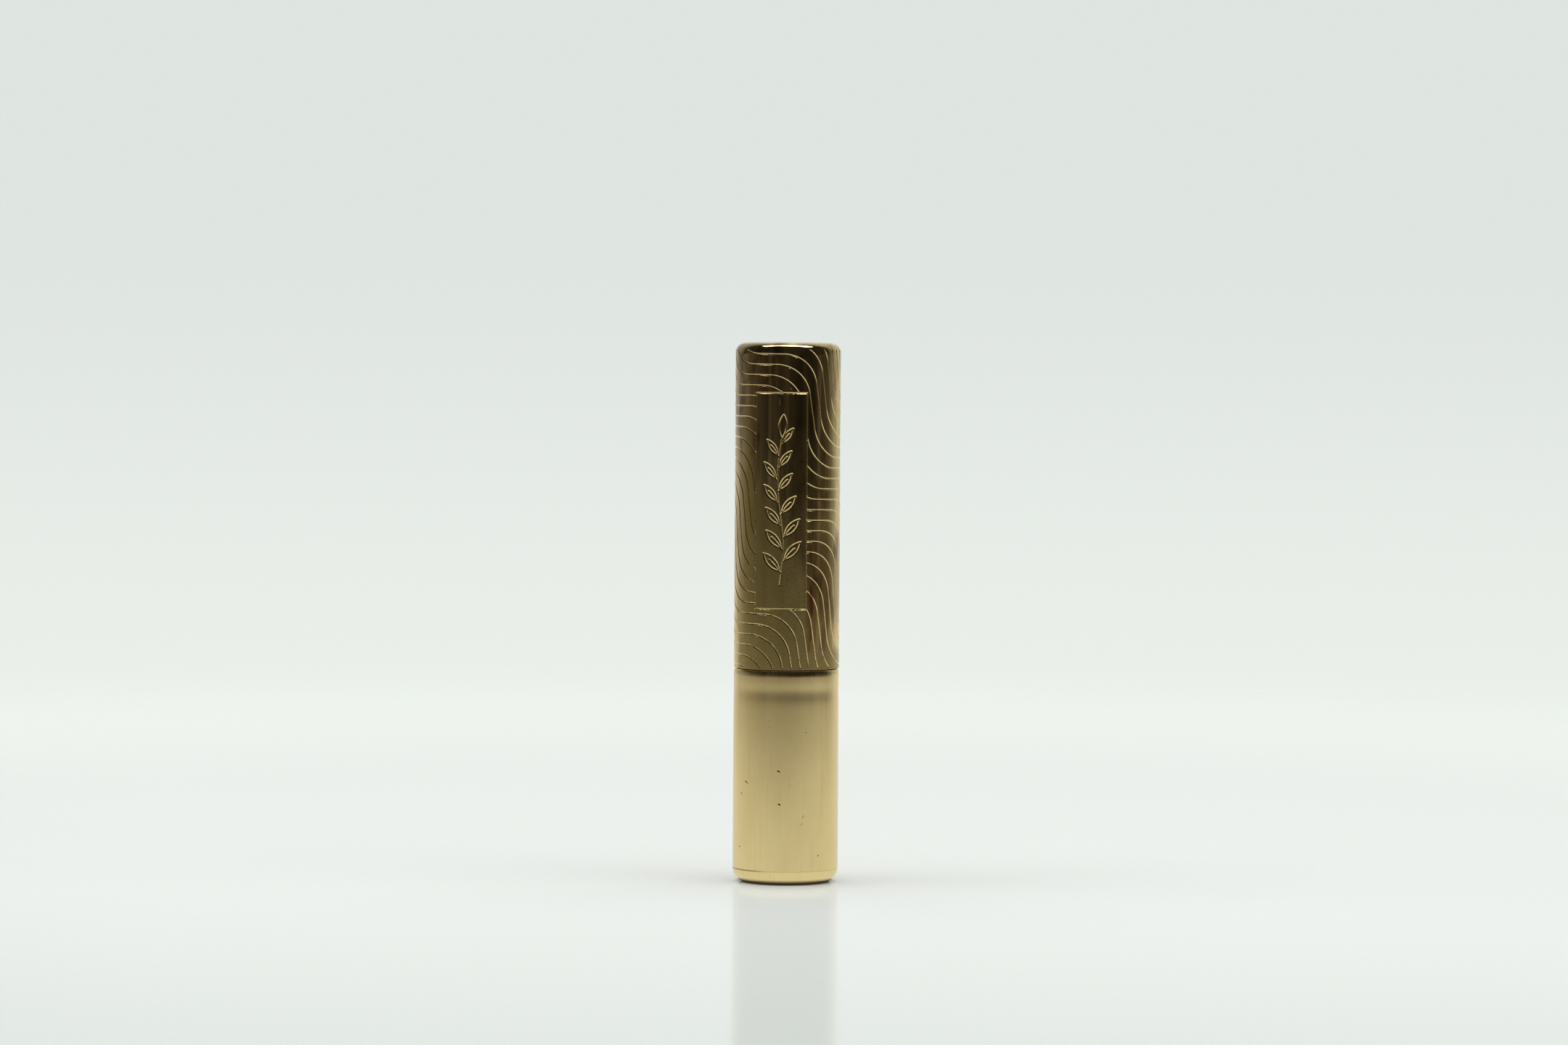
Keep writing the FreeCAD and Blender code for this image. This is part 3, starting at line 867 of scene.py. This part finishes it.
def satin_gold(name="satin_gold", shift=0.0, satin=0.20):
    """Satin gold-tone plating: fine grain, faint upright streaks, dark specks and a rubbed lip."""
    look = Look(name, metal=1.0, rough=satin)
    right, _, up = look.axes()
    cloud = look.noise(4.0, stretch=(1, 1, 2.5), shift=shift)
    streak = look.noise(0.5, detail=3, stretch=(1, 1, 24), shift=shift)
    freckles = look.times(look.spots(0.7, 0.045, shift + 2), 0.5)
    specks = look.math("MAXIMUM", marks(look, BASE_MARKS), freckles)
    seam = look.fade_mm(look.off_mm(up, BARREL_BOTTOM), 0.2, 0)
    grime = look.times(seam, look.scaled(look.fade_mm(right, -1, -4.5), 0.55, 0.02))
    rubbed = look.fade_mm(up, LIP_TOP - 0.95, LIP_TOP - 0.5)
    smudge = look.times(rubbed, look.fade(look.noise(0.45, stretch=(1, 1, 0.6)), 0.42, 0.62))
    gold = look.blend(look.fade(cloud, 0.4, 0.7), GOLD, GOLD_WARM, 0.35)
    gold = look.blend(look.fade(streak, 0.54, 0.72), gold, TARNISH_AND_SHADE, 0.07)
    gold = look.blend(look.math("MAXIMUM", specks, grime), gold, DARK)
    look.colour(look.blend(smudge, gold, TARNISH_AND_SHADE, 0.35))
    dull = look.scaled(rubbed, LIP_SATIN - satin, look.scaled(cloud, 0.05, satin - 0.025))
    look.roughness(specks, 0.3, dull)
    look.bump((look.noise(0.05, detail=2), 0.0022), (look.noise(3.0, detail=2), 0.004), (specks, -0.02))
    return look.material


def moulded(name, colour, shade, rough, translucent):
    """Moulded plastic: faint flow marks, a fine skin texture and a little handling dirt."""
    look = Look(name, rough=rough, Subsurface_Weight=translucent, Subsurface_Scale=0.001)
    flow = look.noise(2.0, stretch=(1, 1, 3))
    dirt = look.fade(look.noise(0.9, detail=6, shift=5), 0.58, 0.8)
    look.colour(look.blend(dirt, look.blend(flow, colour, shade), toned(colour, 0.45), 0.35))
    look.roughness(flow, 0.14, rough - 0.05)
    look.bump((look.noise(0.12, detail=3), 0.0025), (look.noise(1.6, detail=2), 0.008))
    return look.material


def rubber(name, colour, rough):
    """Matte elastomer: mottled, with bloom and a grainy skin."""
    look = Look(name, rough=rough)
    mottle = look.noise(0.8, detail=5)
    look.colour(look.blend(look.fade(mottle, 0.4, 0.7), colour, toned(colour, 1.35)))
    look.roughness(mottle, 0.2, rough - 0.1)
    look.bump((look.noise(0.08, detail=3), 0.004), (mottle, 0.01))
    return look.material


def smeared_stem():
    """Black stem plastic, glossy, with dried mascara thickening towards the brush."""
    look = Look("stem_plastic", rough=0.2)
    near_brush = look.fade_mm(look.axes()[2], 43, 30)
    smear = look.times(look.fade(look.noise(0.9, detail=6, stretch=(1, 1, 2)), 0.42, 0.58), near_brush)
    look.colour(look.blend(smear, rgb(0.018, 0.018, 0.02), rgb(0.006, 0.005, 0.005)))
    look.roughness(smear, 0.45, 0.16)
    look.bump((look.noise(0.1, detail=3), 0.002), (smear, 0.05))
    return look.material


def patched(name, size, detail, limits, colours, rough, reliefs, metal=0.0):
    """A surface under an uneven coat. The coat's colour and roughness come second."""
    look = Look(name, metal=metal, rough=rough[0])
    coat = look.fade(look.noise(size, detail=detail), *limits)
    look.colour(look.blend(coat, *colours))
    look.roughness(coat, rough[1] - rough[0], rough[0])
    look.bump(*((look.noise(grain, detail=fine, stretch=(1, 1, along)), depth)
                for grain, fine, along, depth in reliefs))
    return look.material


def paste():
    """Mascara: near black, wet in places and drying in others, with a creased skin."""
    return patched("paste", 0.5, 5, (0.42, 0.62), (rgb(0.006, 0.005, 0.006), rgb(0.018, 0.015, 0.015)),
                   (0.18, 0.58), ((0.25, 5, 1, 0.03), (0.05, 2, 1, 0.004)))


def bristle_nylon():
    """Black nylon filament under a thin uneven coat of mascara."""
    return patched("bristle_nylon", 0.4, 4, (0.4, 0.6),
                   (rgb(0.022, 0.021, 0.024), rgb(0.006, 0.005, 0.006)),
                   (0.24, 0.54), ((0.08, 3, 1, 0.006),))


def drawn_steel():
    """Drawn wire: fine lengthwise lines and black residue in its twist."""
    return patched("wire_steel", 0.4, 4, (0.45, 0.6), (rgb(0.52, 0.52, 0.54), rgb(0.03, 0.03, 0.03)),
                   (0.22, 0.62), ((0.04, 2, 12, 0.002),), metal=1.0)


def felt():
    """Dense felt: matted fibres in two tones."""
    look = Look("felt", rough=0.95, Sheen_Weight=0.3)
    fibre = look.noise(0.12, detail=6, stretch=(3, 1, 1))
    look.colour(look.blend(fibre, rgb(0.20, 0.17, 0.13), rgb(0.36, 0.31, 0.25)))
    look.roughness(fibre, 0.2, 0.8)
    look.bump((fibre, 0.06), (look.noise(0.7, detail=3), 0.08))
    return look.material


def label_paper():
    """Blank paper: fibres and faint uneven yellowing."""
    look = Look("label_paper", rough=0.7)
    fibre = look.noise(0.15, detail=6, stretch=(2, 1, 1))
    age = look.fade(look.noise(3.0, detail=3), 0.4, 0.7)
    look.colour(look.blend(age, rgb(0.80, 0.77, 0.69), rgb(0.66, 0.58, 0.43), 0.5))
    look.roughness(fibre, 0.2, 0.6)
    look.bump((fibre, 0.01))
    return look.material


def give(thing, material):
    thing.data.materials.clear()
    thing.data.materials.append(material)


# ---- the object

def build_object():
    """Every visible piece, its body, the CAD nodes that it stands for and its material."""
    black_paste = paste()
    pieces = (
        (engraved_cap(), "cap", ("cap_shell",), "engraved_gold", engraved_gold()),
        (base_barrel(), "base", ("base_shell",), "satin_gold", satin_gold()),
        (foot_cup(), "base", ("foot_cap",), "foot_gold", satin_gold("foot_gold", 4.0, 0.10)),
        (brush_filaments(), "cap", ("bristles",), "bristle_nylon", bristle_nylon()),
        (brush_paste(), "cap", (), "paste", black_paste),
    )
    for piece, body, stands_for, slot, material in pieces:
        give(piece, material)
        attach(piece, body)
        if stands_for:
            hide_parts(*stands_for)
    liner = moulded("liner_plastic", rgb(0.52, 0.50, 0.43), rgb(0.47, 0.45, 0.38), 0.45, 0.08)
    kept = {
        "base_sleeve": liner, "cap_sleeve": liner,
        "vial": moulded("vial_plastic", rgb(0.60, 0.58, 0.53), rgb(0.55, 0.53, 0.48), 0.30, 0.05),
        "inner_cap": moulded("cap_plastic", rgb(0.56, 0.54, 0.50), rgb(0.51, 0.49, 0.44), 0.32, 0.05),
        "slip_washer": moulded("nylon", rgb(0.54, 0.51, 0.41), rgb(0.49, 0.46, 0.36), 0.4, 0.08),
        "wiper": rubber("wiper_rubber", rgb(0.42, 0.40, 0.35), 0.45),
        "seal_washer": rubber("seal_rubber", rgb(0.10, 0.10, 0.10), 0.7),
        "stem": smeared_stem(), "brush_wire": drawn_steel(), "mascara": black_paste,
        "base_pad": felt(), "shade_label": label_paper(),
    }
    for name, material in kept.items():
        give(frame["nodes"][name], material)


# ---- studio

CAMERA_TURN = 7.8  # degrees round to the right of the panel's middle
CAMERA_AWAY, CAMERA_HEIGHT, CAMERA_LENS, CAMERA_ROLL = 0.766, 0.0825, 116.0, 0.38
AIM_HEIGHT, AIM_LEFT = 0.05452, 0.0005


def camera():
    """A long lens level with the cap's top, which looks slightly down."""
    data = bpy.data.cameras.new("camera")
    data.lens, data.sensor_width = CAMERA_LENS, 36.0
    data.clip_start, data.clip_end = 0.01, 50.0
    eye = linked("camera", data)
    turn = radians(CAMERA_TURN)
    eye.location = (CAMERA_AWAY * sin(turn), -CAMERA_AWAY * cos(turn), CAMERA_HEIGHT)
    aim = Vector((-AIM_LEFT * cos(turn), -AIM_LEFT * sin(turn), AIM_HEIGHT))
    level = (aim - eye.location).to_track_quat("-Z", "Y").to_euler()
    level.rotate_axis("Z", radians(CAMERA_ROLL))
    eye.rotation_euler = level
    bpy.context.scene.camera = eye


def staged(thing, look, camera=True, glossy=True, diffuse=True, shadow=True):
    """Give a studio surface its material, and say which rays see it."""
    give(thing, look.material)
    thing.visible_camera = thing.visible_transmission = camera
    thing.visible_glossy, thing.visible_diffuse, thing.visible_shadow = glossy, diffuse, shadow


def disc(name, radius, height):
    """A flat round sheet, in metres, at a height above the floor."""
    steps = 96
    points = [(0, 0, height / MM)]
    for k in range(steps):
        a = 2 * pi * k / steps
        points.append((radius * sin(a) / MM, -radius * cos(a) / MM, height / MM))
    return make_mesh(name, points, [[0, 1 + k, 1 + (k + 1) % steps] for k in range(steps)])


def globe(name, radius, lowest, highest):
    """A dome round the origin, in metres, between two heights in degrees above the horizon."""
    points, rows = [], []
    ring_step, around = 7.5, 72
    steps = round((highest - lowest) / ring_step)
    for i in range(steps + 1):
        lift = radians(lowest + (highest - lowest) * i / steps)
        rows.append(list(range(len(points), len(points) + around)))
        for j in range(around):
            a = 2 * pi * j / around
            place = (cos(lift) * sin(a), -cos(lift) * cos(a), sin(lift))
            points.append(tuple(radius / MM * k for k in place))
    return make_mesh(name, points, joined(rows, closed=False))


FLOOR_SOLID, FLOOR_GONE = 0.12, 0.60  # the floor fades into the backdrop between these
FLOOR_SHEEN, SHEEN_SOLID, SHEEN_GONE = 0.49, 0.18, 0.40


def floor():
    """Pale sheet with a faint gloss round the object, which fades into the backdrop; painted shade darkens
    the paper towards the front.
    """
    look = Look("floor", rough=0.8, Specular_IOR_Level=0.0)
    _, back, _ = look.axes()
    away = look.distance(look.place)
    mottle = look.fade(look.noise(60.0, detail=3), 0.3, 0.7)
    paper = look.blend(mottle, rgb(0.795, 0.825, 0.795), rgb(0.805, 0.83, 0.805))
    paper = look.blend(look.fade(back, -0.01, 0.11), paper, rgb(0.80, 0.83, 0.80))
    # painted shade: the paper darkens towards the front
    look.colour(look.blend(look.fade(back, -0.02, -0.24), paper, rgb(0.68, 0.72, 0.69)))
    sheen = look.add("ShaderNodeBsdfGlossy", {"Roughness": look.scaled(mottle, 0.03, 0.07)})
    shine = look.times(look.add("ShaderNodeFresnel", {"IOR": 1.45}).outputs[0],
                       look.fade(away, SHEEN_SOLID, SHEEN_GONE, FLOOR_SHEEN, 0.0))
    sheet = look.add("ShaderNodeMixShader", {0: shine, 1: look.shader.outputs[0], 2: sheen.outputs[0]})
    clear = look.add("ShaderNodeBsdfTransparent").outputs[0]
    gone = look.fade(away, FLOOR_SOLID, FLOOR_GONE)
    look.surface(look.add("ShaderNodeMixShader", {0: gone, 1: sheet.outputs[0], 2: clear}).outputs[0])
    staged(disc("floor", FLOOR_GONE, 0.0), look, glossy=False)


def world():
    """Dim even light from all round, which only shades the object and the floor."""
    sky = bpy.data.worlds.new("studio")
    sky.use_nodes = True
    bpy.context.scene.world = sky
    light = sky.node_tree.nodes["Background"].inputs
    light["Color"].default_value, light["Strength"].default_value = rgb(0.79, 0.83, 0.80), 0.28


def backdrop():
    """Pale surroundings that only the camera sees, brighter where they meet the floor."""
    radius, fade_low, fade_high = 3.4, -0.065, 0.0575
    look = Look("backdrop")
    lift = look.fade(look.axes()[2], fade_low * radius, fade_high * radius)
    look.glow(look.blend(lift, rgb(0.822, 0.862, 0.822), rgb(0.738, 0.780, 0.750)))
    staged(globe("backdrop", radius, -90, 90), look, glossy=False, diffuse=False, shadow=False)


# Brightness of the room as polished metal sees it, by bearing in degrees from the front (-Y)
# round to the right (+X): a dark room in front, pale backdrop behind, gaps and stands between.
ROOM = ((-180, 0.80), (-163, 0.80), (-150, 0.57), (-131, 0.47), (-117, 0.30), (-106, 0.27),
        (-96, 0.21), (-83, 0.15), (-68, 0.10), (-51, 0.06), (-38, 0.035), (-32, 0.10), (-26, 0.05),
        (-19, 0.07), (-9, 0.035), (8, 0.037), (12, 0.021), (37, 0.014), (48, 0.028), (61, 0.014),
        (74, 0.025), (80, 0.09), (88, 0.035), (108, 0.07), (122, 0.22), (133, 0.42), (147, 0.57),
        (160, 0.58), (172, 0.78), (180, 0.80))
DIM = 0.18  # below this the room is warm wood and shade, above it pale backdrop
PALE_TINT, WOOD_TINT = (1.0, 1.02, 1.0), (1.0, 0.90, 0.75)
ROOM_RADIUS = 3.0
SHADE_HEIGHTS, OVERHEAD_HEIGHTS = (2, 9), (82, 88)  # in degrees, start and end
# painted contact shadow under the foot, in the floor as reflections see it
CONTACT_SHADOW_START, CONTACT_SHADOW_END = 0.0068, 0.0080
SWEEP_END, TABLE_START, TABLE_END = 0.14, 0.37, 1.8
SWEEP_HEIGHT = -0.00002  # just under the foot
SWEEP_SHIFT, SWEEP_SQUEEZE = -0.027, 0.774  # the pale part reaches further to the sides


def by_bearing(look):
    """The brightness that ROOM gives for where a point lies."""
    right, back, _ = look.axes()
    bearing = look.math("ARCTAN2", right, look.times(back, -1.0))
    ramp = look.add("ShaderNodeValToRGB", {"Fac": look.scaled(bearing, 0.5 / pi, 0.5)})
    stops = ramp.color_ramp.elements
    for number, (bearing_degrees, level) in enumerate(ROOM):
        spot = bearing_degrees / 360 + 0.5
        stop = stops[number] if number < 2 else stops.new(spot)
        stop.position = spot
        stop.color = rgb(*(level * part for part in (PALE_TINT if level > DIM else WOOD_TINT)))
    return ramp.outputs[0]


def room():
    """A dome that only reflections see, bright by bearing as ROOM says and pale overhead."""
    look = Look("room")
    _, back, height = look.axes()

    def risen(heights):
        start, end = (ROOM_RADIUS * sin(radians(lift)) for lift in heights)
        return look.fade(height, start, end)

    before = look.fade(back, 0.5 * ROOM_RADIUS, 0.2 * ROOM_RADIUS, 0.0, 0.85)
    walls = look.blend(look.times(before, risen(SHADE_HEIGHTS)), by_bearing(look), rgb(0.025, 0.023, 0.02))
    look.glow(look.blend(risen(OVERHEAD_HEIGHTS), walls, rgb(0.75, 0.79, 0.76)))
    staged(globe("room", ROOM_RADIUS, -2, 90), look, camera=False, diffuse=False, shadow=False)


def sweep():
    """The floor as reflections see it: a painted contact shadow under the foot, pale near by, ending soon
    in front.
    """
    look = Look("sweep")
    reach = look.distance(look.mapped(Location=(SWEEP_SHIFT, 0, 0), Scale=(SWEEP_SQUEEZE, 1, 1)))
    table = look.blend(look.fade(reach, TABLE_START, TABLE_END), rgb(0.125, 0.107, 0.082), rgb(0, 0, 0))
    beyond = look.add("ShaderNodeMix", {0: 1.0, 6: by_bearing(look), 7: table},
                      data_type="RGBA", blend_type="ADD").outputs[2]
    shade = look.blend(look.fade(reach, SWEEP_END, TABLE_START), rgb(0.73, 0.755, 0.72), beyond)
    # painted contact shadow: dark right under the foot
    contact = look.fade(look.distance(look.place), CONTACT_SHADOW_START, CONTACT_SHADOW_END)
    look.glow(look.blend(contact, rgb(0.04, 0.032, 0.02), shade))
    staged(disc("sweep", ROOM_RADIUS, SWEEP_HEIGHT), look, camera=False, diffuse=False, shadow=False)


def softbox(name, place, size, power, aim=(0, 0, 0)):
    """A rectangular lamp, width by height in metres, which points at the aim."""
    data = bpy.data.lights.new(name, "AREA")
    data.shape, data.energy = "RECTANGLE", power
    data.size, data.size_y = size
    lamp = linked(name, data)
    lamp.location = place
    lamp.rotation_euler = (Vector(aim) - Vector(place)).to_track_quat("-Z", "Y").to_euler()
    return lamp


def lights():
    """Lamps that only shade, and a narrow one above that only shows as a glint on the crown."""
    for name, place, size, power in (("ceiling", (0, 0.05, 2.2), (3.0, 3.0), 57.5),
                                     ("left_box", (-1.1, -0.25, 0.9), (0.9, 0.9), 3.6),
                                     ("right_box", (1.1, -0.25, 0.9), (0.9, 0.9), 3.6)):
        softbox(name, place, size, power).visible_glossy = False
    crown = softbox("crown_light", (0, -0.02, 1.0), (1.15, 0.24), 8.5, aim=(0, 0, 0.05))
    crown.data.color = (1.0, 0.99, 0.97)
    crown.visible_diffuse = False


def studio():
    """Camera, surroundings and lamps."""
    for build in (camera, world, backdrop, floor, room, sweep, lights):
        build()
    view = bpy.context.scene.view_settings
    view.view_transform, view.look = "Standard", "None"


build_object()
studio()
